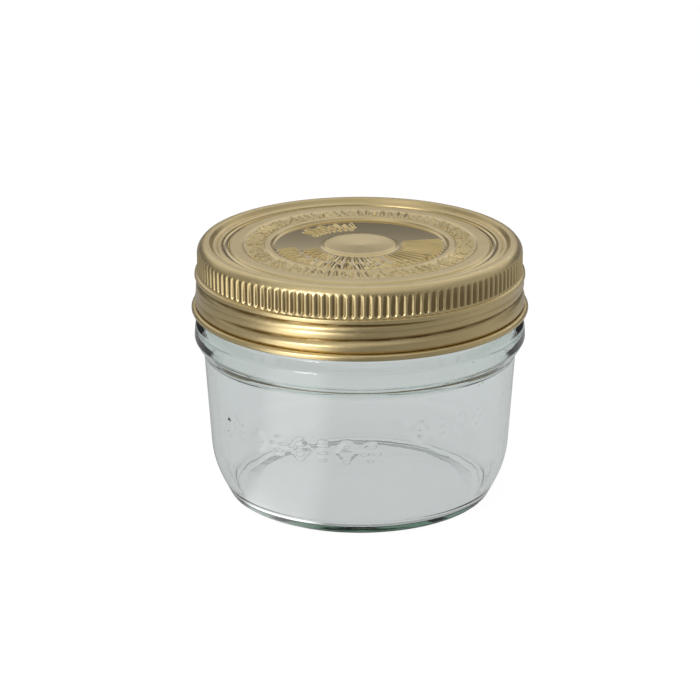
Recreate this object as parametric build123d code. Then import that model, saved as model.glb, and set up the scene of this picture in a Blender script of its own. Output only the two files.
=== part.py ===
"""Wide, low preserving jar with a one-piece screw lid over a loose vacuum capsule.

Four pieces, as they come apart on a bench: the glass jar, the rolled and
knurled tinplate screw lid, the thin capsule disc that seals the mouth, and
the ring of sealing compound flowed into the capsule's edge channel.

Millimetres, +Z up. The origin is the centre of the jar's resting ring, on
the surface that it stands on. The lid is shown screwed down tight.
"""
import os
from math import atan2, hypot, pi, radians, sin, tan

from build123d import *

# ---------------------------------------------------------------- glass jar
body_radius = 51.1  # outside, just under the collar
body_taper = 1.7  # how much narrower the straight wall is at its foot
wall = 3.2
shoulder_height = 48.5  # where the straight wall ends and the collar begins
flank_top = 22.0  # height where the rounded flank meets the straight wall
heel_inset = 6.6  # the heel's top lies this far inside the body radius
heel_height = 3.0
rest_inset = 11.4  # the resting ring's outer edge, in from the body radius
rest_width = 1.6
push_up = 1.9  # hollow under the base
floor_thickness = 3.6  # glass between the hollow and the inside floor
inner_heel_rise = 11.0  # height of the rounded corner inside
inner_heel_reach = 9.5  # width of the rounded corner inside

collar_proud = 3.0  # how far the collar stands out from the body
collar_foot_rise = 5.1  # slope under the collar
collar_band = 4.3  # the collar's own height
collar_top_rise = 2.2  # slope above the collar

neck_radius = 50.4  # outside of the neck, the root of the thread
neck_wall = 4.2
neck_height = 22.2  # from the top of the collar's slope to the rim
rim_round = 1.5

# ------------------------------------------------------------------- thread
pitch = 5.08  # five turns to the inch, right-handed
glass_turns = 1.25
glass_thread_depth = 1.7
glass_thread_root = 1.15  # half height at the root
glass_thread_crest = 0.45  # half height at the crest
lid_turns = 1.2
lid_bead_root = 1.1
lid_bead_crest = 0.45
engagement = 0.9  # how far the lid's bead reaches behind the glass thread
thread_play = 0.95  # between the glass thread's crest and the inside of the skirt
flank_gap = 1.75  # lid bead's middle under the glass thread's middle
bead_top_gap = 0.1  # plain wall above the lid's bead
bead_foot_gap = 1.9  # plain wall under the lid's bead
thread_start = 285.0  # degrees round from the front, anticlockwise from above
thread_sink = 0.5  # how far a swept thread starts inside its wall

# ------------------------------------------------------------------ capsule
capsule_sheet = 0.25
compound_height = 0.8
compound_inset = 0.3  # from the mouth's edge to the compound's inner edge
capsule_play = 0.35  # between the neck and the flange round it
capsule_flange = 1.2  # depth of the down-turned edge below the channel
capsule_bend = 0.4
capsule_step = 1.1  # how far the middle sits down inside the mouth
capsule_step_width = 1.0
mouth_gap = 0.6  # between the stepped middle and the mouth
snap_radius = 9.0  # the vacuum button in the middle
snap_rise = 0.5
snap_slope = 4.0

# ----------------------------------------------------------------- lid, top
lid_sheet = 0.35
shoulder_round = 4.0
top_ring_rise = 1.8  # outer ring above the pressing groove
press_inset = 0.9  # middle of the groove that presses on the capsule, out from the mouth
press_width = 1.0
lip_rise = 0.55
lip_width = 1.3
channel_inset = 3.5  # middle of the channel, in from the pressing groove
channel_width = 1.5
channel_depth = 0.75
land_rise = 0.4
step_inset = 9.1  # inner edge of the plain land, in from the pressing groove
text_ring_rise = 0.1
inner_ring_inset = 8.2  # middle of the ring round the sunken panel, in from the step
inner_ring_width = 1.8
inner_ring_rise = 0.45
panel_drop = 0.45
button_radius = 11.6
button_rise = 0.3
button_dish = 0.25
press_slope = 0.7  # width of a pressed slope between two levels
top_bend = 0.4  # bend radius of the pressed rings

# --------------------------------------------------------------- lid, skirt
knurl_height = 9.8  # from the top of the lid to the foot of the knurling
ledge_height = 0.4  # the small flare under the knurling
skirt_proud = 0.6  # the threaded wall, outside the knurled band's radius
curl_neck_inset = 0.25
curl_neck_height = 1.1
curl_radius = 1.1
curl_turn = 290.0  # degrees of the roll, from the skirt round under and back up
skirt_bend = 0.25

# ------------------------------------------------------------ derived sizes
collar_radius = body_radius + collar_proud
collar_low = shoulder_height + collar_foot_rise
collar_high = collar_low + collar_band
neck_foot = collar_high + collar_top_rise
rim_height = neck_foot + neck_height
mouth_radius = neck_radius - neck_wall
seal_underside = rim_height
capsule_underside = seal_underside + compound_height
capsule_top = capsule_underside + capsule_sheet
press_level = capsule_top + lid_sheet  # top of the lid in its pressing groove
lid_top = press_level + top_ring_rise
knurl_foot = lid_top - knurl_height
skirt_top = knurl_foot - ledge_height
tube_top = skirt_top - 2 * skirt_bend  # the threaded wall's plain tube
bead_start = tube_top - bead_top_gap - lid_bead_root - pitch * lid_turns
thread_height = bead_start + flank_gap  # start of the glass thread's middle
skirt_foot = bead_start - lid_bead_root - bead_foot_gap
skirt_radius = neck_radius + glass_thread_depth + thread_play + lid_sheet
lid_radius = skirt_radius - skirt_proud  # outside of the knurled band
press_radius = mouth_radius + press_inset
channel_radius = press_radius - channel_inset
step_radius = press_radius - step_inset
inner_ring_radius = step_radius - inner_ring_inset


def revolved(outline):
    """A closed outline of edges, radius along X and height along Y, turned about Z."""
    return revolve(Plane.XZ * make_face(outline), Axis.Z)


def parallel(points, distance):
    """The corners of a polyline moved sideways, to its right when distance is positive."""
    moved = []
    for index, (x, y) in enumerate(points):
        before = points[max(index - 1, 0)]
        after = points[min(index + 1, len(points) - 1)]
        into = atan2(y - before[1], x - before[0]) if index else None
        out = atan2(after[1] - y, after[0] - x) if index < len(points) - 1 else None
        into = out if into is None else into
        out = into if out is None else out
        middle = (into + out) / 2
        reach = distance / max(abs(sin(pi / 2 + (out - into) / 2)), 0.2)
        moved.append((x + reach * sin(middle), y - reach * sin(pi / 2 - middle)))
    return moved


def bent(points, right_radius, left_radius):
    """A polyline with rounded corners, each limited by the shorter run beside it."""
    radii = []
    for before, corner, after in zip(points, points[1:], points[2:]):
        run_in = (corner[0] - before[0], corner[1] - before[1])
        run_out = (after[0] - corner[0], after[1] - corner[1])
        turn = atan2(run_in[0] * run_out[1] - run_in[1] * run_out[0],
                     run_in[0] * run_out[0] + run_in[1] * run_out[1])
        room = 0.45 * min(hypot(*run_in), hypot(*run_out)) / tan(abs(turn) / 2)
        radii.append(min(left_radius if turn > 0 else right_radius, room))
    return FilletPolyline(*points, radius=radii)


def sheet_faces(points, thickness, bend):
    """The two faces of a bent sheet: the outer one on the points, the inner to its right."""
    tight = max(bend - thickness, bend / 4)
    return (bent(points, bend, tight),
            bent(parallel(points, thickness), tight, bend))


def thread(root_radius, crest_radius, root_half, crest_half, start_height, turns):
    """A helical ridge; its section is a trapezium between two radii."""
    path = Helix(pitch=pitch, height=pitch * turns, radius=root_radius)
    section = Polyline((root_radius, -root_half), (crest_radius, -crest_half),
                       (crest_radius, crest_half), (root_radius, root_half), close=True)
    ridge = sweep(Plane.XZ * make_face(section), path=path, is_frenet=True)
    return Pos(0, 0, start_height) * Rot(0, 0, thread_start - 90) * ridge


def glass_jar():
    """The jar: resting ring, heel, tapered wall, collar, neck, rim and thread."""
    rest_outer = body_radius - rest_inset
    rest_inner = rest_outer - rest_width
    foot_radius = body_radius - body_taper
    heel_top = (body_radius - heel_inset, heel_height)
    heel = TangentArc((rest_outer, 0), heel_top, tangent=(1, 0))
    flank = TangentArc(heel_top, (foot_radius, flank_top), tangent=heel % 1)
    side = FilletPolyline((foot_radius, flank_top), (body_radius, shoulder_height),
                          (collar_radius, collar_low), (collar_radius, collar_high),
                          (neck_radius, neck_foot), (neck_radius, rim_height),
                          (mouth_radius, rim_height), (mouth_radius, neck_foot),
                          radius=[3.0, 1.6, 1.5, 1.2, rim_round, rim_round])
    inner_foot = foot_radius - wall
    floor_height = push_up + floor_thickness
    inner_top = Line((mouth_radius, neck_foot), (body_radius - wall, shoulder_height))
    inner_wall = Line(inner_top @ 1, (inner_foot, floor_height + inner_heel_rise))
    inner_heel = TangentArc((inner_foot - inner_heel_reach, floor_height), inner_wall @ 1,
                            tangent=(1, 0))
    floor = Line(inner_heel @ 0, (0, floor_height))
    middle = Line((0, floor_height), (0, push_up))
    hollow = FilletPolyline((0, push_up), (rest_inner - 2 * push_up, push_up), (rest_inner, 0),
                            (rest_outer, 0), radius=[2.5, 0.6])
    outline = heel + flank + side + inner_top + inner_wall + inner_heel + floor + middle + hollow
    ridge = thread(neck_radius - thread_sink, neck_radius + glass_thread_depth,
                   glass_thread_root, glass_thread_crest, thread_height, glass_turns)
    return revolved(outline) + ridge


def capsule():
    """The thin disc: edge flange, channel over the rim, stepped middle and snap button."""
    edge = neck_radius + capsule_play + capsule_sheet
    step_outer = mouth_radius - mouth_gap
    step_inner = step_outer - capsule_step_width
    middle = capsule_top - capsule_step
    points = [(0, middle + snap_rise), (snap_radius - snap_slope, middle + snap_rise),
              (snap_radius, middle), (step_inner, middle), (step_outer, capsule_top),
              (edge, capsule_top), (edge, capsule_underside - capsule_flange)]
    upper, under = sheet_faces(points, capsule_sheet, capsule_bend)
    return revolved(upper + under + Line(upper @ 0, under @ 0) + Line(upper @ 1, under @ 1))


def sealing_ring():
    """The ring of compound in the capsule's channel, with its upper outer corner bent to fit."""
    inner = mouth_radius + compound_inset
    outer = neck_radius + capsule_play
    section = Pos((inner + outer) / 2, seal_underside + compound_height / 2) * Rectangle(
        outer - inner, compound_height)
    corner = section.vertices().sort_by(Axis.Y)[-2:].sort_by(Axis.X)[-1]
    return revolve(Plane.XZ * fillet(corner, capsule_bend - capsule_sheet), Axis.Z)


def lid_top_points():
    """The lid's outer face from its middle to its shoulder."""
    panel = press_level - panel_drop
    button = panel + button_rise
    ring = press_level + inner_ring_rise
    text = press_level + text_ring_rise
    land = press_level + land_rise
    channel = press_level + land_rise - channel_depth
    lip = press_level + lip_rise
    ring_in = inner_ring_radius - inner_ring_width / 2
    ring_out = inner_ring_radius + inner_ring_width / 2
    channel_in = channel_radius - channel_width / 2
    channel_out = channel_radius + channel_width / 2
    press_in = press_radius - press_width / 2
    press_out = press_radius + press_width / 2
    return [(0, button - button_dish), (button_radius - 2 * press_slope, button),
            (button_radius, button), (button_radius + press_slope, panel),
            (ring_in - press_slope, panel), (ring_in, ring), (ring_out, ring),
            (ring_out + press_slope, text), (step_radius - press_slope, text),
            (step_radius, land), (channel_in - press_slope, land), (channel_in, channel),
            (channel_out, channel), (press_in - press_slope - lip_width, lip),
            (press_in - press_slope, lip), (press_in, press_level),
            (press_out, press_level), (press_out + press_slope, lid_top)]


def threaded_skirt(inner, outer, foot, height):
    """The skirt's tube with the thread rolled into it: a groove outside, a bead inside."""
    section = Pos((inner + outer) / 2, foot + height / 2) * Rectangle(outer - inner, height)
    bead_crest = neck_radius + glass_thread_depth - engagement
    bead = thread((inner + outer) / 2, bead_crest, lid_bead_root, lid_bead_crest,
                  bead_start, lid_turns)
    groove = thread(outer + thread_sink, bead_crest + lid_sheet, lid_bead_root,
                    lid_bead_crest / 2, bead_start, lid_turns)
    return revolve(Plane.XZ * section, Axis.Z) + bead - groove


def screw_lid():
    """The one-piece lid: pressed top, shoulder, plain band, threaded skirt and curl."""
    skirt_inside = skirt_radius - lid_sheet
    neck = skirt_radius - curl_neck_inset
    curl_middle = skirt_foot - curl_neck_height
    shoulder_top = (lid_radius - shoulder_round, lid_top)
    shoulder_foot = (lid_radius, lid_top - shoulder_round)
    band_points = [shoulder_foot, (lid_radius, knurl_foot), (skirt_radius, skirt_top - skirt_bend),
                   (skirt_radius, tube_top)]
    crown, crown_under = sheet_faces(lid_top_points() + [shoulder_top], lid_sheet, top_bend)
    band, band_under = sheet_faces(band_points, lid_sheet, skirt_bend)
    turn = TangentArc(crown @ 1, band @ 0, tangent=(1, 0))
    turn_under = TangentArc(crown_under @ 1, band_under @ 0, tangent=(1, 0))
    top = revolved(crown + turn + band + Line(band @ 1, band_under @ 1) + band_under
                   + turn_under + crown_under + Line(crown_under @ 0, crown @ 0))

    curl_centre = (neck - lid_sheet + curl_radius, curl_middle)
    curl = CenterArc(curl_centre, curl_radius, 180, curl_turn)
    curl_inside = CenterArc(curl_centre, curl_radius - lid_sheet, 180, curl_turn)
    neck_inside = Polyline((skirt_inside, skirt_foot),
                           (neck - lid_sheet, skirt_foot - curl_neck_inset), curl @ 0)
    neck_outside = Polyline((skirt_radius, skirt_foot), (neck, skirt_foot - curl_neck_inset),
                            curl_inside @ 0)
    foot = revolved(neck_inside + curl + Line(curl @ 1, curl_inside @ 1) + curl_inside
                    + neck_outside + Line(neck_outside @ 0, neck_inside @ 0))
    tube = threaded_skirt(skirt_inside, skirt_radius, skirt_foot, tube_top - skirt_foot)
    return tube + top + foot


NODES = {
    "glass_jar": glass_jar,
    "capsule": capsule,
    "sealing_ring": sealing_ring,
    "screw_lid": screw_lid,
}

os.makedirs("parts", exist_ok=True)
for name, build in NODES.items():
    export_step(build(), f"parts/{name}.step")
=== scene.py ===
"""Looks of a wide, low preserving jar: green-tinted pressed glass and a gold tinplate screw lid.

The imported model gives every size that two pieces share. The pieces here are turned
meshes: a profile swept round the jar's axis as a grid of rings and columns, which is
then pushed in and out for the knurling, the rolled thread and the raised marks.
Lengths in the classes below are millimetres and meshes are metres. Angles run from
the front (-Y), anticlockwise as seen from above.
"""
from __future__ import annotations

import logging
import math
from collections.abc import Iterable, Mapping, Sequence
from dataclasses import dataclass, field
from enum import Enum

import bpy
import numpy as np
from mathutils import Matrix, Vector

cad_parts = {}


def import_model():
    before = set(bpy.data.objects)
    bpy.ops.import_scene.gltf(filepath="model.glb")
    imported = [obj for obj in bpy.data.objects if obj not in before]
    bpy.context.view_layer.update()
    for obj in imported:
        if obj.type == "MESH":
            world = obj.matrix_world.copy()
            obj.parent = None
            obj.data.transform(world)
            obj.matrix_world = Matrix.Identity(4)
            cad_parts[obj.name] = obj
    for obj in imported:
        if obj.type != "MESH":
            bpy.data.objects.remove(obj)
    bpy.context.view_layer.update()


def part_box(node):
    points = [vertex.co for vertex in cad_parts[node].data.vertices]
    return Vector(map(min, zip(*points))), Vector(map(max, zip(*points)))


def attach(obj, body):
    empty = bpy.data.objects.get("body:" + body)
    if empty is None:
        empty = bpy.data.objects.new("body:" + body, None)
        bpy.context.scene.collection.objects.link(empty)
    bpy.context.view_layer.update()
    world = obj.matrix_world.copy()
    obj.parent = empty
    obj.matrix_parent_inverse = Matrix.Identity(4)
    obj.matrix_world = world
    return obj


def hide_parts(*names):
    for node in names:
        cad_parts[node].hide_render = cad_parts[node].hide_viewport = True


MM = 0.001
TINY = 1e-9
SHADER_TINY = 1e-6
STRAIGHT = 0.02
RUN_SHARE = 0.49
ARC_STEP = 0.35
ARC_TURN = 0.35
ARC_LEAST = 0.3
SHARP_DEGREES = 50.0
LOG = logging.getLogger("jar")
Corner = tuple[float, float, float]
Span = tuple[float, float]
Colour = tuple[float, float, float, float]
WHITE: Colour = (1.0, 1.0, 1.0, 1.0)


class Body(Enum):
    """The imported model's bodies."""

    JAR = "jar"
    CAPSULE = "capsule"
    LID = "lid"


# ------------------------------------------------------------------ shader maths


class Signal:
    """A shader socket that Python's operators can work on."""

    def __init__(self, graph: "Graph", socket: bpy.types.NodeSocket | None) -> None:
        """Keeps the graph that new Math nodes go to."""
        self.graph = graph
        self.socket = socket

    def __add__(self, other: "Signal | float") -> "Signal":
        """The sum, as a Math node."""
        return self.graph.maths("ADD", self, other)

    def __radd__(self, other: float) -> "Signal":
        """The sum with a number on the left."""
        return self.graph.maths("ADD", other, self)

    def __sub__(self, other: "Signal | float") -> "Signal":
        """The difference, as a Math node."""
        return self.graph.maths("SUBTRACT", self, other)

    def __rsub__(self, other: float) -> "Signal":
        """The difference with a number on the left, as in 1 - mask."""
        return self.graph.maths("SUBTRACT", other, self)

    def __mul__(self, other: "Signal | float") -> "Signal":
        """The product, as a Math node."""
        return self.graph.maths("MULTIPLY", self, other)

    def __rmul__(self, other: float) -> "Signal":
        """The product with a number on the left."""
        return self.graph.maths("MULTIPLY", other, self)

    def __truediv__(self, other: "Signal | float") -> "Signal":
        """The quotient, as a Math node."""
        return self.graph.maths("DIVIDE", self, other)


Value = Signal | float | Sequence[float]


class Graph:
    """A material's or world's node tree, emptied and ready to be filled."""

    def __init__(self, tree: bpy.types.NodeTree) -> None:
        """Clears the tree."""
        self.tree = tree
        self.tree.nodes.clear()

    def node(
        self,
        kind: str,
        settings: Mapping[str, object] | None = None,
        sockets: Mapping[str | int, Value] | None = None,
        output: str | int = 0,
    ) -> Signal:
        """Adds any node.

        Args:
            kind: the node's type, such as ShaderNodeTexNoise.
            settings: its properties, such as a Math node's operation.
            sockets: a value or a link for each named or numbered input.
            output: which output to return.

        Returns:
            The chosen output, empty for a node that has none.
        """
        made = self.tree.nodes.new(kind)
        for name, value in (settings or {}).items():
            setattr(made, name, value)
        for name, value in (sockets or {}).items():
            if isinstance(value, Signal):
                self.tree.links.new(value.socket, made.inputs[name])
            else:
                made.inputs[name].default_value = value
        return Signal(self, made.outputs[output] if made.outputs else None)

    def maths(self, operation: str, *values: Value) -> Signal:
        """One Math node on plain values."""
        sockets = dict(enumerate(values))
        return self.node("ShaderNodeMath", {"operation": operation}, sockets)

    def step(self, value: Signal, low: float, high: float) -> Signal:
        """A smooth rise from 0 at low to 1 at high."""
        settings = {"interpolation_type": "SMOOTHSTEP"}
        return self.node("ShaderNodeMapRange", settings, {0: value, 1: low, 2: high})

    def mix(self, factor: Value, first: Value, second: Value) -> Signal:
        """One colour turning into another."""
        sockets = {0: factor, 6: first, 7: second}
        return self.node("ShaderNodeMix", {"data_type": "RGBA"}, sockets, output=2)

    def noise(self, scale: float, detail: float, stretch: Sequence[float] = (1, 1, 1)) -> Signal:
        """Noise that stays with the piece.

        Args:
            scale: how many features there are to a metre.
            detail: how many finer layers are added.
            stretch: a factor for each of the piece's own axes.

        Returns:
            The noise, from 0 to 1.
        """
        place = self.node("ShaderNodeTexCoord", output="Object")
        place = self.node("ShaderNodeMapping", sockets={"Vector": place, "Scale": stretch})
        sockets = {"Vector": place, "Scale": scale, "Detail": detail}
        return self.node("ShaderNodeTexNoise", sockets=sockets)

    def coordinates(self) -> tuple[Signal, Signal, Signal]:
        """The place on the piece.

        Returns:
            Its own X, Y and Z, in metres.
        """
        place = self.node("ShaderNodeTexCoord", output="Object")
        split = self.node("ShaderNodeSeparateXYZ", sockets={0: place})
        outputs = split.socket.node.outputs
        return tuple(Signal(self, outputs[axis]) for axis in range(3))

    def towards(self, x: Signal, y: Signal, azimuth: float) -> Signal:
        """How squarely a place or a direction lies towards an azimuth.

        Args:
            x: its first coordinate.
            y: its second coordinate.
            azimuth: the bearing, in degrees from the front.

        Returns:
            1 straight ahead, 0 square to it and -1 behind.
        """
        turn = math.radians(azimuth)
        ahead = x * math.sin(turn) - y * math.cos(turn)
        return ahead / self.maths("MAXIMUM", self.maths("SQRT", x * x + y * y), SHADER_TINY)

    def axis_distance(self) -> Signal:
        """Distance from the jar's axis, in millimetres."""
        x, y, _ = self.coordinates()
        return self.maths("SQRT", x * x + y * y) / MM

    def bump(self, height: Signal, depth: float, strength: float) -> Signal:
        """A normal from a height signal whose full rise is depth metres."""
        sockets = {"Strength": strength, "Distance": depth, "Height": height}
        return self.node("ShaderNodeBump", sockets=sockets)

    def rays(self) -> tuple[Signal, Signal, Signal]:
        """Which kind of ray looks.

        Returns:
            1 for rays from the camera, off gloss, and through glass, each in its turn.
        """
        outputs = self.node("ShaderNodeLightPath").socket.node.outputs
        names = ("Is Camera Ray", "Is Glossy Ray", "Is Transmission Ray")
        camera, glossy, clear = (Signal(self, outputs[name]) for name in names)
        return camera, glossy * (1 - clear), clear

    def surface(self, shader: Signal, volume: Signal | None = None) -> None:
        """Links the finished shader to the material's output.

        Args:
            shader: the surface.
            volume: what fills the piece, if anything does.
        """
        sockets: dict[str | int, Value] = {"Surface": shader}
        if volume is not None:
            sockets["Volume"] = volume
        self.node("ShaderNodeOutputMaterial", sockets=sockets)


@dataclass(frozen=True)
class Finish:
    """A finish that any piece can be dressed in."""

    name: str

    def material(self) -> bpy.types.Material:
        """Makes the material, or finds the one that was made before.

        Returns:
            The finish's material.
        """
        made = bpy.data.materials.get(self.name)
        if made is None:
            made = bpy.data.materials.new(self.name)
            made.use_nodes = True
            self.fill(Graph(made.node_tree))
        return made

    def fill(self, graph: Graph) -> None:
        """Builds the node tree; each finish has its own."""
        raise NotImplementedError


@dataclass(frozen=True)
class PressedGlass(Finish):
    """Clear soda-lime glass, with the soft waviness of a pressing and a tint in its depth."""

    name: str = "pressed_glass"
    refraction: float = 1.52
    tint: Colour = (0.44, 0.62, 0.52, 1.0)
    density: float = 38.0
    roughness: float = 0.012
    smear: float = 0.02
    smear_span: Span = (0.45, 0.75)
    swell_scale: float = 48.0
    swell_stretch: tuple[float, float, float] = (1.0, 1.0, 0.45)
    ripple_scale: float = 210.0
    ripple_share: float = 0.08
    wave_depth: float = 0.00034
    wave_strength: float = 0.5

    def fill(self, graph: Graph) -> None:
        """Refraction with a wavy surface, over plain absorption.

        Args:
            graph: the material's node tree.
        """
        swell = graph.noise(self.swell_scale, 2.0, self.swell_stretch)
        ripple = graph.noise(self.ripple_scale, 2.0)
        waves = swell + self.ripple_share * ripple
        sockets = {
            "Base Color": WHITE,
            "Roughness": self.roughness + self.smear * graph.step(ripple, *self.smear_span),
            "IOR": self.refraction,
            "Transmission Weight": 1.0,
            "Normal": graph.bump(waves, self.wave_depth, self.wave_strength),
        }
        shader = graph.node("ShaderNodeBsdfPrincipled", sockets=sockets)
        sockets = {"Color": self.tint, "Density": self.density}
        volume = graph.node("ShaderNodeVolumeAbsorption", sockets=sockets)
        graph.surface(shader, volume)


@dataclass(frozen=True)
class GoldLacquer(Finish):
    """Gold-lacquered tinplate: satin where it was rolled, bright where it lies flat in the press."""

    name: str = "gold_lacquer"
    light: Colour = (0.66, 0.53, 0.28, 1.0)
    deep: Colour = (0.60, 0.47, 0.235, 1.0)
    # painted shade: the darker colour laid into the knurl pockets and the skirt's grooves, standing in for
    # the shade inside them
    recess_shade_colour: Colour = (0.25, 0.182, 0.082, 1.0)
    mirror: Colour = (0.56, 0.43, 0.19, 1.0)
    rubbed: Colour = (0.78, 0.69, 0.48, 1.0)
    rubbed_share: float = 0.25
    satin: float = 0.3
    bright: float = 0.07
    bright_ring: Span | None = None
    bright_above: float = 0.0
    ring_edge: float = 0.5
    height_edge: float = 0.2
    coat: float = 0.2
    coat_roughness: float = 0.12
    drift_scale: float = 26.0
    drift_span: Span = (0.35, 0.7)
    recess_shade_span: Span = (0.1, 0.9)
    crest_span: Span = (0.52, 0.60)
    crest_polish: float = 0.04
    grain_scale: float = 900.0
    grain_span: Span = (0.3, 0.75)
    grain_roughness: float = 0.10
    peel_scale: float = 2600.0
    peel_share: float = 0.5
    peel_depth: float = 0.00003
    peel_strength: float = 0.6

    def bright_mask(self, graph: Graph) -> Signal | None:
        """Finds the smooth ring of the pressed top.

        Args:
            graph: the material's node tree.

        Returns:
            1 on the ring and 0 elsewhere, or nothing where the piece has no such ring.
        """
        if self.bright_ring is None:
            return None
        inner, outer = self.bright_ring
        radius = graph.axis_distance()
        height = graph.coordinates()[2] / MM
        past_inner = graph.step(radius, inner, inner + self.ring_edge)
        past_outer = graph.step(radius, outer - self.ring_edge, outer)
        on_top = graph.step(height, self.bright_above - self.height_edge, self.bright_above)
        return past_inner * (1 - past_outer) * on_top

    def fill(self, graph: Graph) -> None:
        """Metal under thin lacquer, with drifting tone, orange peel, rubbed crests and painted shade in the
        pockets and grooves.

        Args:
            graph: the material's node tree.
        """
        drift = graph.noise(self.drift_scale, 4.0)
        grain = graph.noise(self.grain_scale, 3.0)
        height = grain + self.peel_share * graph.noise(self.peel_scale, 2.0)
        pointiness = graph.node("ShaderNodeNewGeometry", output="Pointiness")
        crest = graph.step(pointiness, *self.crest_span)
        # painted shade: the mesh's share of shade at each point, which darkens the colour in pockets and
        # grooves
        recess_shade = graph.node("ShaderNodeAttribute", {"attribute_name": "recess_shade"}, output="Fac")
        tone = graph.mix(graph.step(drift, *self.drift_span), self.deep, self.light)
        tone = graph.mix(self.rubbed_share * crest, tone, self.rubbed)
        tone = graph.mix(graph.step(recess_shade, *self.recess_shade_span), tone, self.recess_shade_colour)
        grainy = self.grain_roughness * graph.step(grain, *self.grain_span)
        roughness = self.satin + grainy - self.crest_polish * crest
        mask = self.bright_mask(graph)
        if mask is not None:
            roughness = roughness * (1 - mask) + self.bright * mask
            height = height * (1 - mask)
            tone = graph.mix(mask, tone, self.mirror)
        sockets = {
            "Base Color": tone,
            "Metallic": 1.0,
            "Roughness": roughness,
            "Coat Weight": self.coat,
            "Coat Roughness": self.coat_roughness,
            "Normal": graph.bump(height, self.peel_depth, self.peel_strength),
        }
        graph.surface(graph.node("ShaderNodeBsdfPrincipled", sockets=sockets))


@dataclass(frozen=True)
class SealingCompound(Finish):
    """Flowed-in compound: a pale, slightly soft matt ring."""

    name: str = "sealing_compound"
    colour: Colour = (0.62, 0.58, 0.50, 1.0)
    shade: Colour = (0.50, 0.46, 0.39, 1.0)
    roughness: float = 0.45
    softness: float = 0.15
    soft_depth: float = 0.0008
    flow_scale: float = 140.0
    flow_span: Span = (0.3, 0.7)
    flow_depth: float = 0.00006
    flow_strength: float = 0.5
    grain_scale: float = 1500.0
    grain_share: float = 0.4
    grain_roughness: float = 0.15

    def fill(self, graph: Graph) -> None:
        """Matt plastic with faint flow marks.

        Args:
            graph: the material's node tree.
        """
        flow = graph.noise(self.flow_scale, 3.0)
        grain = graph.noise(self.grain_scale, 2.0)
        sockets = {
            "Base Color": graph.mix(graph.step(flow, *self.flow_span), self.shade, self.colour),
            "Roughness": self.roughness + self.grain_roughness * grain,
            "Subsurface Weight": self.softness,
            "Subsurface Scale": self.soft_depth,
            "Normal": graph.bump(flow + self.grain_share * grain, self.flow_depth, self.flow_strength),
        }
        graph.surface(graph.node("ShaderNodeBsdfPrincipled", sockets=sockets))


# ------------------------------------------------------------------- turned mesh


def rounded_path(corners: Sequence[Corner], step: float) -> np.ndarray:
    """Points along a profile whose corners are arcs.

    Args:
        corners: (radius, height, bend radius) of each corner, in millimetres.
        step: the longest stretch between two points on a straight run.

    Returns:
        An array of (radius, height) rows.
    """
    places = np.array([corner[:2] for corner in corners], float)
    points = [places[0]]
    for index in range(1, len(places)):
        target = places[index]
        arc = np.empty((0, 2))
        if index < len(places) - 1 and corners[index][2] > 0:
            arc = corner_arc(places[index - 1], target, places[index + 1], corners[index][2])
            target = arc[0]
        origin = points[-1]
        pieces = max(1, math.ceil(float(np.hypot(*(target - origin))) / step))
        points += [origin + (target - origin) * part / pieces for part in range(1, pieces + 1)]
        points += list(arc[1:])
    return np.array(points)


def corner_arc(before: np.ndarray, corner: np.ndarray, after: np.ndarray, bend: float) -> np.ndarray:
    """The arc that rounds one corner.

    Args:
        before: the corner before.
        corner: the corner itself.
        after: the corner after.
        bend: the arc's radius, shortened where the runs leave no room.

    Returns:
        The arc's points, first and last on the two runs.
    """
    run_in = corner - before
    run_out = after - corner
    length_in = float(np.hypot(*run_in))
    length_out = float(np.hypot(*run_out))
    way_in = run_in / length_in
    way_out = run_out / length_out
    turn = math.atan2(way_in[0] * way_out[1] - way_in[1] * way_out[0], float(way_in @ way_out))
    if abs(turn) < STRAIGHT:
        return np.array([corner])
    cut = min(bend * math.tan(abs(turn) / 2), RUN_SHARE * length_in, RUN_SHARE * length_out)
    radius = cut / math.tan(abs(turn) / 2)
    side = math.copysign(1.0, turn)
    centre = corner - way_in * cut + side * radius * np.array([-way_in[1], way_in[0]])
    by_length = math.ceil(abs(turn) * max(radius, ARC_LEAST) / ARC_STEP)
    count = max(2, by_length, math.ceil(abs(turn) / ARC_TURN))
    start = corner - way_in * cut - centre
    angles = np.linspace(0.0, turn, count + 1)
    cosines, sines = np.cos(angles), np.sin(angles)
    spokes = np.stack([start[0] * cosines - start[1] * sines, start[0] * sines + start[1] * cosines], 1)
    return centre + spokes


def outward(path: np.ndarray) -> np.ndarray:
    """Which way the sheet or the glass faces along its profile.

    Args:
        path: (radius, height) rows, with the material to the left.

    Returns:
        A unit row for each point, square to the path and away from the material.
    """
    along = np.gradient(path, axis=0)
    along /= np.maximum(np.hypot(along[:, 0], along[:, 1]), TINY)[:, None]
    return np.stack([along[:, 1], -along[:, 0]], 1)


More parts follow.
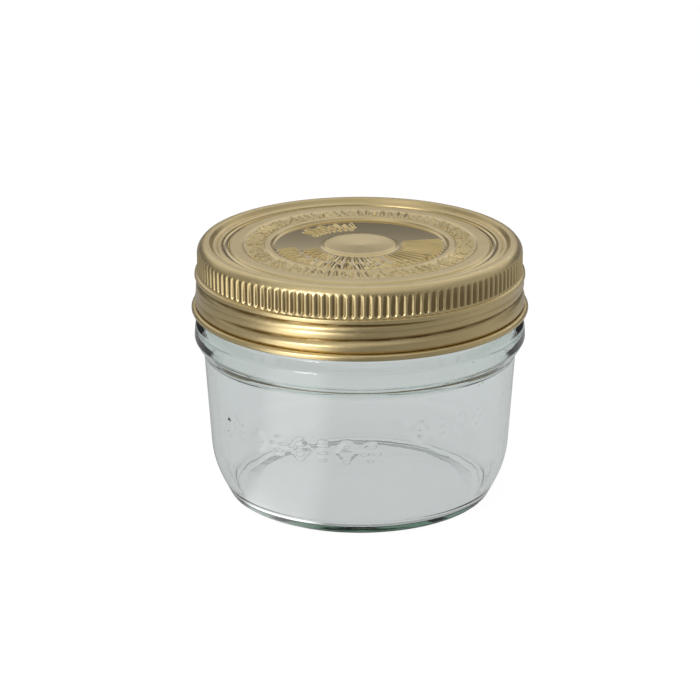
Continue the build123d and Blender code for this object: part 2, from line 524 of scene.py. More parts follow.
class Turning:
    """A profile turned round the jar's axis. The material lies to the left of its path."""

    def __init__(self, path: np.ndarray, columns: int) -> None:
        """Sweeps the path round the axis.

        Args:
            path: (radius, height) rows, in millimetres.
            columns: how many places it stops at on its way round.
        """
        self.path = path
        self.angle = np.linspace(0.0, 2 * math.pi, columns, endpoint=False)[None, :]
        self.radius = np.repeat(path[:, :1], columns, 1)
        self.height = np.repeat(path[:, 1:], columns, 1)
        self.normal = outward(path)
        # share of painted shade at each point, 0 to 1, for the finish to darken
        self.recess_shade = np.zeros(self.radius.shape)

    def push(self, amount: np.ndarray) -> None:
        """Moves each point outwards along the profile's own normal, in millimetres."""
        self.radius = self.radius + amount * self.normal[:, :1]
        self.height = self.height + amount * self.normal[:, 1:]

    def plan(self) -> tuple[np.ndarray, np.ndarray]:
        """Each point's place as seen from above: across to the right, and up the page."""
        return self.radius * np.sin(self.angle), -self.radius * np.cos(self.angle)

    def build(self, name: str, closed: bool) -> bpy.types.Object:
        """Makes the mesh.

        Args:
            name: the piece's name.
            closed: whether the path's end joins its start; otherwise both lie on the axis.

        Returns:
            The new object, smooth shaded.
        """
        rings, columns = self.radius.shape
        first, last = (0, rings) if closed else (1, rings - 1)
        across, up = self.plan()
        grid = np.stack([across, up, self.height], 2)[first:last].reshape(-1, 3) * MM
        index = np.arange((last - first) * columns).reshape(last - first, columns)
        beside = np.roll(index, -1, 1)
        faces = self._quads(index[:-1], beside[:-1], beside[1:], index[1:])
        points = grid.tolist()
        if closed:
            faces += self._quads(index[-1:], beside[-1:], beside[:1], index[:1])
        else:
            start, end = len(points), len(points) + 1
            points += [(0, 0, self.path[0, 1] * MM), (0, 0, self.path[-1, 1] * MM)]
            faces += [(start, b, a) for a, b in zip(index[0].tolist(), beside[0].tolist())]
            faces += [(end, a, b) for a, b in zip(index[-1].tolist(), beside[-1].tolist())]
        mesh = bpy.data.meshes.new(name)
        mesh.from_pydata(points, [], faces)
        mesh.shade_smooth()
        mesh.set_sharp_from_angle(angle=math.radians(SHARP_DEGREES))
        # the painted shade share goes to the mesh as a point attribute
        depths = np.zeros(len(points), np.float32)
        depths[: grid.shape[0]] = self.recess_shade[first:last].ravel()
        mesh.attributes.new("recess_shade", "FLOAT", "POINT").data.foreach_set("value", depths)
        made = bpy.data.objects.new(name, mesh)
        bpy.context.scene.collection.objects.link(made)
        return made

    @staticmethod
    def _quads(*corners: np.ndarray) -> list[tuple[int, ...]]:
        """Faces from four index grids of one shape."""
        return [tuple(face) for face in np.stack([c.ravel() for c in corners], 1).tolist()]


def ease(value: np.ndarray) -> np.ndarray:
    """A smooth rise from 0 to 1 over the unit stretch."""
    value = np.clip(value, 0.0, 1.0)
    return value * value * (3 - 2 * value)


@dataclass(frozen=True)
class Stroke:
    """A straight raised mark with round ends."""

    start: tuple[float, float]
    end: tuple[float, float]
    half_width: float


@dataclass
class Relief:
    """Raised strokes that share one rise and one soft shoulder."""

    rise: float
    shoulder: float
    strokes: list[Stroke] = field(default_factory=list)

    def height(self, across: np.ndarray, up: np.ndarray) -> np.ndarray:
        """How far each point of a grid is raised.

        Args:
            across: the points' first coordinate.
            up: their second coordinate.

        Returns:
            The rise at each point, in millimetres.
        """
        raised = np.zeros(across.shape)
        for stroke in self.strokes:
            reach = stroke.half_width + self.shoulder
            low = np.minimum(stroke.start, stroke.end) - reach
            high = np.maximum(stroke.start, stroke.end) + reach
            near = (across > low[0]) & (across < high[0]) & (up > low[1]) & (up < high[1])
            if not near.any():
                continue
            x, y = across[near] - stroke.start[0], up[near] - stroke.start[1]
            run = np.subtract(stroke.end, stroke.start)
            length = max(float(run @ run), TINY)
            part = np.clip((x * run[0] + y * run[1]) / length, 0.0, 1.0)
            distance = np.hypot(x - part * run[0], y - part * run[1])
            level = ease((stroke.half_width + self.shoulder / 2 - distance) / self.shoulder)
            raised[near] = np.maximum(raised[near], level)
        return self.rise * raised


def polar_stroke(inner: float, outer: float, degrees: float, half_width: float, lean: float = 0.0) -> Stroke:
    """A stroke along a spoke of the lid.

    Args:
        inner: the radius that it starts at.
        outer: the radius that it ends at.
        degrees: the spoke's angle from the front.
        half_width: half the stroke's width.
        lean: how far each end is turned from the spoke, in degrees.

    Returns:
        The stroke, as seen from above.
    """
    start, end = math.radians(degrees - lean), math.radians(degrees + lean)
    return Stroke(
        (inner * math.sin(start), -inner * math.cos(start)),
        (outer * math.sin(end), -outer * math.cos(end)),
        half_width,
    )


def dress(piece: bpy.types.Object, finish: Finish, body: Body, slot: str, *nodes: str) -> None:
    """Dresses a piece and tells the frame where it belongs.

    Args:
        piece: the mesh, in place.
        finish: what it is finished in.
        body: the body that it moves with.
        slot: the record's material slot; not used.
        nodes: the CAD nodes that it stands for.
    """
    piece.data.materials.append(finish.material())
    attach(piece, body.value)
    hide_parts(*nodes)
    LOG.info("%s: %d faces on %s", piece.name, len(piece.data.polygons), body.value)


# ----------------------------------------------------------------------- thread


@dataclass(frozen=True)
class Helix:
    """A right-handed thread line, from an angle in degrees at a height in millimetres."""

    start_height: float
    start_angle: float
    turns: float
    half_width: float
    fade: float
    pitch: float = 5.08

    def laps(self, angle: np.ndarray, height: np.ndarray) -> Iterable[tuple[np.ndarray, np.ndarray]]:
        """Each lap's growth from its ends and distance from its middle line.

        Args:
            angle: the points' angles, in radians from the front.
            height: their heights.

        Yields:
            The growth, 0 to 1, and the distance along the axis in half widths.
        """
        round_from_start = (np.degrees(angle) - self.start_angle) % 360
        for lap in range(math.ceil(self.turns) + 1):
            turned = round_from_start + 360 * lap
            growth = ease(turned / self.fade) * ease((360 * self.turns - turned) / self.fade)
            distance = np.abs(height - self.start_height - self.pitch * turned / 360)
            yield growth, distance / self.half_width

    def ridge(self, angle: np.ndarray, height: np.ndarray, fullness: float = 1.25) -> np.ndarray:
        """A rounded ridge along the line.

        Args:
            angle: the points' angles, in radians from the front.
            height: their heights.
            fullness: how steep the flanks are; above 1 the crest is flat.

        Returns:
            Each point's share of the ridge's full height.
        """
        shares = [growth * ease(fullness * (1 - distance)) for growth, distance in self.laps(angle, height)]
        return np.max(shares, axis=0)

    def valley(self, angle: np.ndarray, height: np.ndarray) -> np.ndarray:
        """A narrow valley along the line, between broad rounded flanks.

        Args:
            angle: the points' angles, in radians from the front.
            height: their heights.

        Returns:
            Each point's share of the valley's full depth.
        """
        shares = [
            growth * np.clip(1 - distance, 0.0, 1.0) ** 2 for growth, distance in self.laps(angle, height)
        ]
        return np.max(shares, axis=0)


# ------------------------------------------------------------------------- glass


class Mark(Enum):
    """The marks of the raised frieze, in their order round the wall."""

    LOZENGE = "lozenge"
    THREE_DOTS = "three_dots"
    BARRED_LOZENGE = "barred_lozenge"
    FOUR_DOTS = "four_dots"


@dataclass
class GlassJar:
    """The jar: heel, tapered wall with a band of raised marks, collar, neck, thread and rim."""

    rest_radius: float = 39.7
    rest_width: float = 1.6
    push_up: float = 0.4
    heel_corner: float = 43.0
    heel_bend: float = 5.4
    flank_corner: tuple[float, float] = (48.73, 11.5)
    flank_bend: float = 52.0
    body_radius: float = 51.1
    shoulder_height: float = 48.5
    collar_radius: float = 54.1
    collar_low: float = 53.6
    collar_high: float = 57.9
    neck_foot: float = 60.1
    neck_radius: float = 50.4
    mouth_radius: float = 46.2
    wall: float = 3.2
    inner_flank: Corner = (46.0, 12.5, 45.0)
    inner_heel: Corner = (41.6, 2.6, 5.0)
    columns: int = 344
    coarse_step: float = 3.4
    ring_marks: tuple[float, float] = (48.9, 51.9)
    ring_rise: float = 0.06
    ring_half_width: float = 0.8
    mark_radius: float = 50.0
    mark_middle: float = 30.6
    mark_lift: float = 6.0
    mark_height: float = 6.4
    mark_half_width: float = 2.3
    mark_pitch: float = 7.6
    mark_rise: float = 0.5
    mark_shoulder: float = 1.1
    line_half_width: float = 0.38
    dot_radius: float = 0.6
    thread_rise: float = 1.7
    thread: Helix = Helix(start_height=69.25, start_angle=285.0, turns=1.25, half_width=1.5, fade=22.0)
    fine_rings: tuple[float, float, float] = (0.4, 0.5, 0.42)
    fine_margins: tuple[float, float, float] = (0.9, 1.2, 1.8)

    def profile(self) -> np.ndarray:
        """The whole section, from the middle of the base round to the inside floor.

        Returns:
            (radius, height) rows, with the rim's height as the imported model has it.
        """
        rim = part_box("glass_jar")[1].z / MM
        rest_inner = self.rest_radius - self.rest_width
        corners = [
            (0.0, self.push_up + 0.4, 0.0),
            (rest_inner - 4.0, self.push_up, 3.0),
            (rest_inner, 0.0, 1.2),
            (self.rest_radius, 0.0, 0.3),
            (self.heel_corner, 0.0, self.heel_bend),
            (*self.flank_corner, self.flank_bend),
            (self.body_radius, self.shoulder_height, 3.5),
            (self.collar_radius, self.collar_low, 1.9),
            (self.collar_radius - 0.35, self.collar_high, 1.7),
            (self.neck_radius, self.neck_foot, 1.2),
            (self.neck_radius, rim, 1.5),
            (self.mouth_radius, rim, 1.5),
            (self.mouth_radius, self.neck_foot, 14.0),
            (self.body_radius - self.wall, self.shoulder_height, 14.0),
            self.inner_flank,
            self.inner_heel,
            (0.0, self.inner_heel[1], 0.0),
        ]
        return self.refined(rounded_path(corners, self.coarse_step))

    def refined(self, path: np.ndarray) -> np.ndarray:
        """Adds rings to the outside where the mould rings, the frieze and the thread need them.

        Args:
            path: the section's (radius, height) rows.

        Returns:
            The same section with more rows.
        """
        half, start = self.mark_height / 2, self.thread.start_height
        features = [
            self.ring_marks,
            (self.mark_middle - half, self.mark_middle + self.mark_lift + half),
            (start, start + self.thread.turns * self.thread.pitch),
        ]
        zones = [
            (low - margin, high + margin, step)
            for (low, high), margin, step in zip(features, self.fine_margins, self.fine_rings)
        ]
        points = [path[0]]
        for before, after in zip(path, path[1:]):
            run = after - before
            outside = run[1] > 0 and before[0] > self.mouth_radius
            steps = [step for low, high, step in zones if outside and after[1] > low and before[1] < high]
            pieces = max(1, math.ceil(float(np.hypot(*run)) / steps[-1])) if steps else 1
            points += [before + run * part / pieces for part in range(1, pieces + 1)]
        return np.array(points)

    def marks(self) -> Relief:
        """A frieze of lozenges and dots at the front, and the same behind.

        Returns:
            Its strokes, laid out along the wall and upwards.
        """
        kinds = list(Mark)
        relief = Relief(self.mark_rise, self.mark_shoulder)
        spacing = math.degrees(self.mark_pitch / self.mark_radius)
        for facing in (0.0, 180.0):
            for start, count, lift in ((-57.0, 8, 0.0), (22.0, 4, self.mark_lift)):
                for place in range(count):
                    turn = math.radians((facing + start + place * spacing) % 360)
                    middle = (turn * self.mark_radius, self.mark_middle + lift)
                    relief.strokes += self.mark(kinds[place % len(kinds)], middle)
        return relief

    def mark(self, kind: Mark, middle: tuple[float, float]) -> list[Stroke]:
        """One mark of the frieze.

        Args:
            kind: which mark.
            middle: its place along the wall and its height.

        Returns:
            Its strokes.
        """
        wide, high = self.mark_half_width, self.mark_height / 2
        lozenge = [(0.0, high), (wide, 0.0), (0.0, -high), (-wide, 0.0), (0.0, high)]
        lines = list(zip(lozenge, lozenge[1:])) if kind in (Mark.LOZENGE, Mark.BARRED_LOZENGE) else []
        if kind is Mark.BARRED_LOZENGE:
            lines.append(((0.0, 0.35 * high), (0.0, -0.35 * high)))
        dots = {
            Mark.LOZENGE: [(0.0, 0.0)],
            Mark.THREE_DOTS: [(0.0, 0.8 * high), (0.0, 0.0), (0.0, -0.8 * high)],
            Mark.BARRED_LOZENGE: [],
            Mark.FOUR_DOTS: [(0.0, 0.75 * high), (1.9, 0.0), (0.0, -0.75 * high), (-1.9, 0.0)],
        }
        widths = [self.line_half_width] * len(lines) + [self.dot_radius] * len(dots[kind])
        lines += [(spot, spot) for spot in dots[kind]]
        return [
            Stroke(*((middle[0] + x, middle[1] + y) for x, y in line), width)
            for line, width in zip(lines, widths)
        ]

    def build(self) -> None:
        """Makes the glass."""
        turning = Turning(self.profile(), self.columns)
        outside = (turning.normal[:, :1] > 0.5) & (turning.path[:, :1] > self.mouth_radius)
        on_neck = outside & (turning.path[:, 1:] > self.neck_foot + 1.0)
        along = turning.angle * self.mark_radius + 0 * turning.height
        turning.push(self.marks().height(along, turning.height) * outside)
        for height in self.ring_marks:
            nearness = ease(1 - np.abs(turning.height - height) / self.ring_half_width)
            turning.push(self.ring_rise * nearness * outside)
        turning.push(self.thread_rise * self.thread.ridge(turning.angle, turning.height) * on_neck)
        piece = turning.build("jar_glass", closed=False)
        dress(piece, PressedGlass(), Body.JAR, "jar_glass", "glass_jar")


# --------------------------------------------------------------------------- lid


@dataclass
class ScrewLid:
    """The tinplate lid: pressed panel and crown, knurled band, and skirt with its thread and curl."""

    sheet: float = 0.35
    least_bend: float = 0.15
    band_radius: float = 52.8
    shoulder_foot: float = 80.3
    shoulder_split: float = 84.2
    crest_radius: float = 49.0
    flutes: int = 126
    flute_columns: int = 12
    knurl_foot_drop: float = 9.8
    knurl_head: float = 83.35
    knurl_depth: float = 0.62
    pocket_half_width: float = 1.02
    pocket_roundness: float = 0.7
    run_out: float = 0.25
    run_out_start: float = 3.4
    run_out_length: float = 3.6
    skirt_radius: float = 53.4
    skirt_foot_drop: float = 21.2
    skirt_columns: int = 560
    bead_rise: float = 0.35
    neck_depth: float = 0.15
    curl_radius: float = 1.1
    curl_drop: float = 22.1
    curl_sweep: tuple[float, float] = (180.0, 470.0)
    press_drop: float = 1.8
    crest_drop: float = 0.35
    crown_columns: int = 480
    crown_bright: Span = (42.6, 44.7)
    split_radius: float = 37.3
    panel_outer: float = 28.2
    panel_inner: float = 12.3
    panel_columns: int = 720
    bright_reach: float = 4.0
    groove_depth: float = 1.05
    groove_shade: float = 0.8
    groove: Helix = Helix(start_height=67.5, start_angle=285.0, turns=1.35, half_width=1.9, fade=40.0)
    crease_depth: float = 0.3
    crease_shade: float = 0.45
    crease: Helix = Helix(start_height=69.9, start_angle=250.0, turns=0.6, half_width=1.2, fade=50.0)
    top: float = field(init=False)
    press: float = field(init=False)
    crest: float = field(init=False)
    knurl_foot: float = field(init=False)

    def __post_init__(self) -> None:
        """Reads the lid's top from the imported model, and hangs its levels from it."""
        self.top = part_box("screw_lid")[1].z / MM
        self.press = self.top - self.press_drop
        self.crest = self.top - self.crest_drop
        self.knurl_foot = self.top - self.knurl_foot_drop

    def panel_corners(self) -> list[Corner]:
        """The panel's outer face.

        Returns:
            Its corners from the mark ring's edge in to the middle.
        """
        press = self.press
        return [
            (self.split_radius, press + 0.1, 0.0),
            (31.4, press + 0.1, 0.4),
            (30.7, press + 0.5, 0.4),
            (28.9, press + 0.5, 0.5),
            (self.panel_outer, press - 0.45, 0.5),
            (self.panel_inner, press - 0.45, 0.5),
            (11.5, press + 0.1, 0.5),
            (10.4, press + 0.1, 0.8),
            (0.0, press - 0.35, 0.0),
        ]

    def crown_corners(self) -> list[Corner]:
        """The crown's outer face.

        Returns:
            Its corners from the crest in to the mark ring's edge.
        """
        press = self.press
        return [
            (self.crest_radius, self.crest, 0.0),
            (48.7, self.crest, 0.6),
            (47.6, press, 0.5),
            (46.6, press, 0.35),
            (45.9, press + 0.5, 0.45),
            (44.8, press + 0.5, 0.5),
            (44.45, press - 0.3, 0.4),
            (42.85, press - 0.3, 0.4),
            (42.1, press + 0.4, 0.6),
            (38.3, press + 0.4, 0.5),
            (self.split_radius + 0.2, press + 0.1, 0.3),
            (self.split_radius, press + 0.1, 0.0),
        ]

    def shoulder(self) -> np.ndarray:
        """The soft shoulder over the knurled band.

        Returns:
            Its path from the band's plain wall in to the crest.
        """
        corners = [
            (self.band_radius, self.shoulder_foot, 0.0),
            (self.band_radius, 83.0, 3.4),
            (51.0, self.crest, 2.8),
            (self.crest_radius, self.crest, 0.0),
        ]
        return rounded_path(corners, 0.3)

    def under(self, corners: Sequence[Corner], step: float) -> np.ndarray:
        """The sheet's inner face beneath a stretch of the top.

        Args:
            corners: the outer face's corners, from the outside in.
            step: the longest stretch between two points.

        Returns:
            The inner face's path, from the inside out.
        """
        lowered = [
            (radius, height - self.sheet, max(bend - self.sheet, self.least_bend))
            for radius, height, bend in reversed(corners)
        ]
        return rounded_path(lowered, step)

    def inside(self, path: np.ndarray) -> np.ndarray:
        """A path moved in by the sheet's thickness."""
        return path - self.sheet * outward(path)

    def ring_marks(self) -> Relief:
        """Raised bars and dots in the ring round the panel.

        Returns:
            Its strokes, as seen from above.
        """
        relief = Relief(rise=0.85, shoulder=0.5)
        inner, outer = 32.1, 36.4
        middle, half = (inner + outer) / 2, (outer - inner) / 2
        rhythm = (1.0, 1.0, 0.55, 1.0, 0.0, 0.8, 1.0, 0.45, 1.0, 1.0, 0.7, 0.0)
        count = 84
        for place in range(count):
            reach = rhythm[place % len(rhythm)] * half
            bar = polar_stroke(middle - reach, middle + reach, 360.0 * place / count, 0.45, 0.6)
            relief.strokes.append(bar)
        return relief

    def panel_marks(self) -> Relief:
        """Raised rays and dots over the front of the panel, and a small cluster behind.

        Returns:
            Its strokes, as seen from above.
        """
        relief = Relief(rise=0.6, shoulder=0.5)
        ray, dot = 0.42, 0.6
        for place in range(22):
            degrees = -78.0 + 5.6 * place
            relief.strokes.append(polar_stroke(23.4 if place % 2 else 21.4, 26.6, degrees, ray, 1.0))
            if place % 3 == 0:
                relief.strokes.append(polar_stroke(24.0, 24.0, degrees + 2.8, dot))
        for place in range(12):
            relief.strokes.append(polar_stroke(14.8, 18.9, -70.0 + 8.2 * place, ray, 1.2))
        for place in range(13):
            relief.strokes.append(polar_stroke(14.6, 26.6, 34.0 + 5.6 * place, ray))
        for place in range(8):
            degrees = 186.0 + 6.4 * place
            relief.strokes.append(polar_stroke(20.4, 23.0 if place % 2 else 24.6, degrees, ray, 1.0))
            relief.strokes.append(polar_stroke(18.0, 18.0, degrees + 3.0, 0.55))
        return relief

    def build_panel(self) -> None:
        """Makes the middle of the pressed top, with its raised marks."""
        outer = rounded_path(self.panel_corners(), 0.42)
        under = self.under(self.panel_corners(), 4.0)
        turning = Turning(np.concatenate([under, outer]), self.panel_columns)
        across, up = turning.plan()
        on_top = np.zeros((len(turning.path), 1))
        on_top[len(under):] = 1.0
        radius = turning.path[:, :1]
        relief = self.ring_marks().height(across, up) * (radius > 31.6)
        relief += self.panel_marks().height(across, up) * (radius < self.panel_outer)
        turning.height = turning.height + relief * on_top
        piece = turning.build("lid_panel", closed=False)
        self.dress_top(piece, "gold_lacquer_panel", (self.panel_inner, self.panel_outer))

    def build_crown(self) -> None:
        """Makes the pressed rings round the panel, and the shoulder."""
        shoulder = self.shoulder()
        shoulder = shoulder[shoulder[:, 1] >= self.shoulder_split]
        outer = np.concatenate([shoulder, rounded_path(self.crown_corners(), 0.6)[1:]])
        inner = np.concatenate([self.under(self.crown_corners(), 2.0), self.inside(shoulder)[::-1][1:]])
        turning = Turning(np.concatenate([inner, outer]), self.crown_columns)
        piece = turning.build("lid_crown", closed=True)
        self.dress_top(piece, "gold_lacquer_crown", self.crown_bright)

    def dress_top(self, piece: bpy.types.Object, name: str, ring: Span) -> None:
        """Dresses a piece of the pressed top, bright on one smooth ring.

        Args:
            piece: the panel or the crown.
            name: its finish's name.
            ring: the bright ring's inner and outer radius.
        """
        finish = GoldLacquer(name=name, bright_ring=ring, bright_above=self.top - self.bright_reach)
        dress(piece, finish, Body.LID, "lid_tinplate", "screw_lid")

    def build_band(self) -> None:
        """Makes the knurled band: upright pockets pressed in between rounded ribs, on to the shoulder, the
        pockets darkened with painted shade.
        """
        shoulder = self.shoulder()
        split = shoulder[:, 1] >= self.shoulder_split
        shoulder = shoulder[: int(np.argmax(split)) + 1]
        ends = [(self.band_radius, self.knurl_foot, 0.0), (self.band_radius, self.shoulder_foot, 0.0)]
        outer = np.concatenate([rounded_path(ends, 0.24)[:-1], shoulder])
        inner = self.inside(outer)[::-2]
        turning = Turning(np.concatenate([inner, outer]), self.flutes * self.flute_columns)
        pockets = self.pockets(turning)
        turning.radius = turning.radius - self.knurl_depth * pockets
        # painted shade: the pockets' outer faces take the darker colour
        turning.recess_shade = pockets * (turning.normal[:, :1] > 0.05)
        piece = turning.build("lid_knurled_band", closed=True)
        dress(piece, GoldLacquer(), Body.LID, "lid_tinplate", "screw_lid")

    def pockets(self, turning: Turning) -> np.ndarray:
        """Where the knurling's pockets lie, each a slot with round ends.

        Args:
            turning: the band, still plain.

        Returns:
            How deep each point of the sheet lies in its pocket, from 0 to 1.
        """
        low, high = self.knurl_foot, self.knurl_head
        straight = (high - low) / 2 - 0.1 - self.pocket_half_width
        pitch = 2 * math.pi / self.flutes
        across = ((turning.angle + pitch / 2) % pitch - pitch / 2) * self.band_radius
        up = np.maximum(np.abs(turning.height - (low + high) / 2) - straight, 0.0)
        reach = np.clip(1 - (np.hypot(across, up) / self.pocket_half_width) ** 2, 0.0, 1.0)
        rise = (turning.height - low - self.run_out_start) / self.run_out_length
        return (1 - self.run_out * ease(rise)) * reach ** self.pocket_roundness

    def skirt_path(self) -> np.ndarray:
        """The skirt's section: ledge, plain wall, bead, neck and the rolled curl.

        Returns:
            (radius, height) rows, down the inside, round the curl and up the outside.
        """
        wall, bead = self.skirt_radius, self.skirt_radius + self.bead_rise
        neck = wall - self.neck_depth
        foot, head = self.top - self.skirt_foot_drop, self.knurl_foot
        curl_centre = (neck - 0.2 - self.sheet + self.curl_radius, self.top - self.curl_drop)
        corners = [
            (neck, curl_centre[1], 0.0),
            (neck, foot + 0.1, 0.3),
            (bead, foot + 1.1, 1.0),
            (bead, foot + 2.5, 1.4),
            (wall, foot + 3.6, 0.8),
            (wall, head - 2.0, 0.4),
            (bead, head - 1.3, 0.4),
            (bead - 0.1, head - 0.4, 0.3),
            (self.band_radius, head, 0.0),
        ]
        outer = rounded_path(corners, 0.2)
        inner = outer[::-1] - np.array([self.sheet, 0.0])
        sweep = np.radians(np.linspace(*self.curl_sweep, 26))
        spokes = np.stack([np.cos(sweep), np.sin(sweep)], 1)
        roll_out = curl_centre + self.curl_radius * spokes
        roll_in = curl_centre + (self.curl_radius - self.sheet) * spokes[::-1]
        return np.concatenate([inner[:-1:2], roll_out, roll_in, outer[1:]])

    def build_skirt(self) -> None:
        """Makes the skirt, with its helical rolled groove and the faint crease above it, both darkened with
        painted shade.
        """
        turning = Turning(self.skirt_path(), self.skirt_columns)
        level = turning.path[:, 1:]
        on_wall = (level > self.top - self.skirt_foot_drop - 0.1) & (level < self.knurl_foot - 1.6)
        groove = self.groove.valley(turning.angle, turning.height)
        crease = self.crease.valley(turning.angle, turning.height)
        depth = self.groove_depth * groove + self.crease_depth * crease
        turning.radius = turning.radius - depth * on_wall
        # painted shade along the rolled groove and the crease
        turning.recess_shade = np.maximum(self.groove_shade * groove, self.crease_shade * crease) * on_wall
        piece = turning.build("lid_skirt", closed=True)
        dress(piece, GoldLacquer(), Body.LID, "lid_tinplate", "screw_lid")

    def build(self) -> None:
        """Makes the lid's four meshes."""
        self.build_panel()
        self.build_crown()
        self.build_band()
        self.build_skirt()


# ----------------------------------------------------------------------- capsule


@dataclass
class Capsule:
    """The vacuum disc and the compound bonded into its channel."""

    sheet: float = 0.25
    edge_radius: float = 51.0
    step_outer: float = 45.6
    step_inner: float = 44.6
    step_drop: float = 1.1
    ring_rise: float = 0.3
    snap_radius: float = 9.0
    disc_columns: int = 320
    compound_inner: float = 46.5
    compound_columns: int = 480
    ripple: float = 0.03
    ripple_waves: tuple[int, int] = (23, 9)
    top: float = field(init=False)
    edge_foot: float = field(init=False)
    compound_low: float = field(init=False)
    compound_high: float = field(init=False)

    def __post_init__(self) -> None:
        """Reads the disc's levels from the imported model."""
        low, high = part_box("capsule")
        self.top = high.z / MM
        self.edge_foot = low.z / MM
        low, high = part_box("sealing_ring")
        self.compound_low, self.compound_high = low.z / MM, high.z / MM

    def build_disc(self) -> None:
        """Makes the disc, with its stepped middle, ring and snap button."""
        middle = self.top - self.step_drop
        corners = [
            (self.edge_radius, self.edge_foot, 0.0),
            (self.edge_radius, self.top, 0.4),
            (self.step_outer, self.top, 0.4),
            (self.step_inner, middle, 0.5),
            (38.5, middle, 0.5),
            (37.9, middle + self.ring_rise, 0.4),
            (36.7, middle + self.ring_rise, 0.4),
            (36.1, middle, 0.5),
            (self.snap_radius + 2.0, middle, 3.0),
            (self.snap_radius - 3.0, middle + 0.45, 4.0),
            (0.0, middle + 0.5, 0.0),
        ]
        outer = rounded_path(corners, 1.2)
        rim = self.edge_radius - self.sheet
        lowered = [
            (min(radius, rim), height - self.sheet, max(bend - 0.15, 0.1))
            for radius, height, bend in reversed(corners[1:])
        ]
        under = [(0.0, lowered[0][1], 0.0), *lowered[1:], (rim, self.edge_foot, 0.0)]
        path = np.concatenate([rounded_path(under, 1.6), outer])
        piece = Turning(path, self.disc_columns).build("capsule_disc", closed=False)
        finish = GoldLacquer(name="gold_lacquer_capsule", satin=0.2, coat=0.35)
        dress(piece, finish, Body.CAPSULE, "capsule_tinplate", "capsule")

    def build_compound(self) -> None:
        """Makes the ring of compound, its free face slightly rippled."""
        inner, outer = self.compound_inner, self.edge_radius - self.sheet
        corners = [
            (inner + 1.0, self.compound_high, 0.0),
            (inner, self.compound_high, 0.2),
            (inner, self.compound_low, 0.35),
            (outer, self.compound_low, 0.1),
            (outer, self.compound_high, 0.15),
            (inner + 1.0, self.compound_high, 0.0),
        ]
        turning = Turning(rounded_path(corners, 0.5)[:-1], self.compound_columns)
        many, few = self.ripple_waves
        ripple = self.ripple * np.sin(many * turning.angle) * np.sin(few * turning.angle + 1.0)
        turning.push(ripple * (turning.normal[:, 1:] < -0.5))
        piece = turning.build("compound_ring", closed=True)
        dress(piece, SealingCompound(), Body.CAPSULE, "sealing_compound", "sealing_ring")

    def build(self) -> None:
        """Makes the disc and its ring."""
        self.build_disc()
        self.build_compound()


# ------------------------------------------------------------------------ studio


@dataclass(frozen=True)
class Panel:
    """A soft light panel that faces the jar."""

    name: str
    azimuth: float
    elevation: float
    distance: float
    size: tuple[float, float]
    watts: float
    colour: tuple[float, float, float] = (1.0, 1.0, 1.0)
    mirrored: bool = True

    def build(self, target: Vector) -> None:
        """Hangs the panel and turns it to the jar.

        Args:
            target: the place that it faces.
        """
        data = bpy.data.lights.new(self.name, "AREA")
        data.shape = "RECTANGLE"
        data.size, data.size_y = self.size
        data.energy = self.watts
        data.color = self.colour
        lamp = bpy.data.objects.new(self.name, data)
        bpy.context.scene.collection.objects.link(lamp)
        azimuth, elevation = math.radians(self.azimuth), math.radians(self.elevation)
        flat = math.cos(elevation)
        way = Vector((flat * math.sin(azimuth), -flat * math.cos(azimuth), math.sin(elevation)))
        lamp.location = target + self.distance * way
        lamp.rotation_euler = (-way).to_track_quat("-Z", "Y").to_euler()
        lamp.visible_camera = False
        lamp.visible_glossy = self.mirrored
        lamp.visible_transmission = False


@dataclass(frozen=True)
class Glow:
    """A side of the room that metal mirrors as lighter, or with a loss as darker."""

    azimuth: float
    edge: float
    core: float
    gain: float

    def level(self, graph: Graph, x: Signal, y: Signal) -> Signal:
        """What this side adds to the room's level.

        Args:
            graph: the node tree that asks.
            x: the first coordinate of a place or a direction.
            y: its second coordinate.

        Returns:
            The gain there, none outside the edge and all of it past the core.
        """
        return self.gain * graph.step(graph.towards(x, y, self.azimuth), self.edge, self.core)


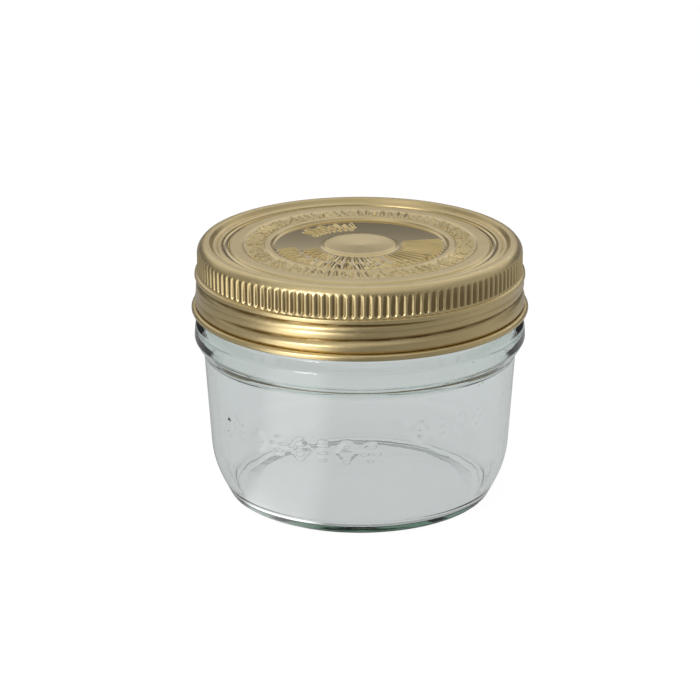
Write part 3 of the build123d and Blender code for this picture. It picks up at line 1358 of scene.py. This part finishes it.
@dataclass
class Studio:
    """Floor, background, lights and camera."""

    elevation: float = 19.716
    distance: float = 0.88
    target_height: float = 0.040
    lens: float = 137.35
    framing: tuple[float, float] = (-0.0141, 0.0298)
    floor_size: float = 6.0
    floor_tone: Colour = (0.8, 0.8, 0.8, 1.0)
    floor_white: float = 1.055
    floor_glow: float = 0.92
    through_glass: float = 0.69
    cast: Colour = (0.965, 0.98, 1.0, 1.0)
    room: float = 0.38
    fill: Glow = Glow(azimuth=80.0, edge=0.0, core=0.90, gain=0.14)
    glint: Glow = Glow(azimuth=-40.0, edge=0.90, core=0.995, gain=1.7)
    dim_front: Glow = Glow(azimuth=5.0, edge=0.1, core=0.8, gain=-0.16)
    behind_span: Span = (0.2, 0.8)
    backdrop_span: Span = (0.2945, 0.296)
    backdrop_light: float = 0.97
    backdrop_shade: float = 0.12
    high_side_span: Span = (0.35, 0.75)
    high_side_loss: float = 0.3
    open_span: Span = (0.2, 0.5)
    side_share: float = 0.6
    overhead_span: Span = (0.55, 0.95)
    ceiling: float = 0.75
    ambient: float = 0.5
    panels: tuple[Panel, ...] = (
        Panel("key_panel", -36.0, 22.0, 0.7, (0.18, 0.34), 1.3, (1.0, 0.98, 0.95)),
        Panel("top_panel", -30.0, 72.0, 0.9, (0.6, 0.6), 4.0, mirrored=False),
    )

    def build_floor(self) -> None:
        """Lays a plain pale floor that keeps the jar's shadow."""
        half = self.floor_size / 2
        mesh = bpy.data.meshes.new("floor")
        corners = [(-half, -half, 0), (half, -half, 0), (half, half, 0), (-half, half, 0)]
        mesh.from_pydata(corners, [], [(0, 1, 2, 3)])
        floor = bpy.data.objects.new("floor", mesh)
        bpy.context.scene.collection.objects.link(floor)
        material = bpy.data.materials.new("floor")
        material.use_nodes = True
        graph = Graph(material.node_tree)
        diffuse = graph.node("ShaderNodeBsdfDiffuse", sockets={"Color": self.floor_tone})
        camera, glossy, clear = graph.rays()
        x, y, _ = graph.coordinates()
        strength = self.floor_white * camera + self.through_glass * clear
        strength = strength + glossy * self.surround(graph, x, y)
        colour = graph.mix(clear, WHITE, self.cast)
        glow = graph.node("ShaderNodeEmission", sockets={"Color": colour, "Strength": strength})
        share = self.floor_glow * graph.maths("MINIMUM", camera + glossy + clear, 1.0)
        graph.surface(graph.node("ShaderNodeMixShader", sockets={0: share, 1: diffuse, 2: glow}))
        mesh.materials.append(material)

    def surround(self, graph: Graph, x: Signal, y: Signal) -> Signal:
        """The room round the jar: a glint front left, a fill at the right and a dim front.

        Args:
            graph: the node tree that asks.
            x: the first coordinate of a place or a direction.
            y: its second coordinate.

        Returns:
            How bright the room is there.
        """
        level = self.room + self.fill.level(graph, x, y)
        return level + self.glint.level(graph, x, y) + self.dim_front.level(graph, x, y)

    def build_world(self) -> None:
        """Makes the world: white to the camera, and a dimmer room off metal and through glass."""
        world = bpy.data.worlds.new("studio")
        world.use_nodes = True
        bpy.context.scene.world = world
        graph = Graph(world.node_tree)
        camera, glossy, clear = graph.rays()
        way = graph.node("ShaderNodeTexCoord", output="Generated")
        split = graph.node("ShaderNodeSeparateXYZ", sockets={0: way}).socket.node.outputs
        x, y, z = (Signal(graph, split[axis]) for axis in range(3))
        behind = graph.step(graph.towards(x, y, 180.0), *self.behind_span)
        above = graph.step(z, *self.backdrop_span)
        overhead = graph.step(z, *self.overhead_span)
        backdrop = self.backdrop_shade + (self.backdrop_light - self.backdrop_shade) * above
        sides = self.surround(graph, x, y) * (1 - self.high_side_loss * graph.step(z, *self.high_side_span))
        level = sides * (1 - behind) + backdrop * behind
        level = level * (1 - overhead) + self.ceiling * overhead
        open_side = graph.maths("MAXIMUM", behind, graph.step(z, *self.open_span))
        faced = camera + self.through_glass * clear * (self.side_share + (1 - self.side_share) * open_side)
        others = 1 - graph.maths("MINIMUM", camera + glossy + clear, 1.0)
        strength = faced + glossy * level + self.ambient * others
        colour = graph.mix(clear, WHITE, self.cast)
        shader = graph.node("ShaderNodeBackground", sockets={"Color": colour, "Strength": strength})
        graph.node("ShaderNodeOutputWorld", sockets={"Surface": shader})

    def build_camera(self) -> None:
        """Sets up a long lens, a little above the lid."""
        data = bpy.data.cameras.new("camera")
        data.lens = self.lens
        data.shift_x, data.shift_y = self.framing
        camera = bpy.data.objects.new("camera", data)
        bpy.context.scene.collection.objects.link(camera)
        lift = math.radians(self.elevation)
        target = Vector((0, 0, self.target_height))
        away = Vector((0, -math.cos(lift), math.sin(lift)))
        camera.location = target + self.distance * away
        camera.rotation_euler = (-away).to_track_quat("-Z", "Y").to_euler()
        bpy.context.scene.camera = camera

    def build(self) -> None:
        """Sets everything round the jar."""
        self.build_camera()
        self.build_floor()
        self.build_world()
        for panel in self.panels:
            panel.build(Vector((0, 0, self.target_height)))
        bpy.context.scene.view_settings.view_transform = "Standard"


def main() -> None:
    """Builds the pieces round the frame."""
    logging.basicConfig(level=logging.INFO)
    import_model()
    Studio().build()
    GlassJar().build()
    Capsule().build()
    ScrewLid().build()


if __name__ == "__main__":
    main()
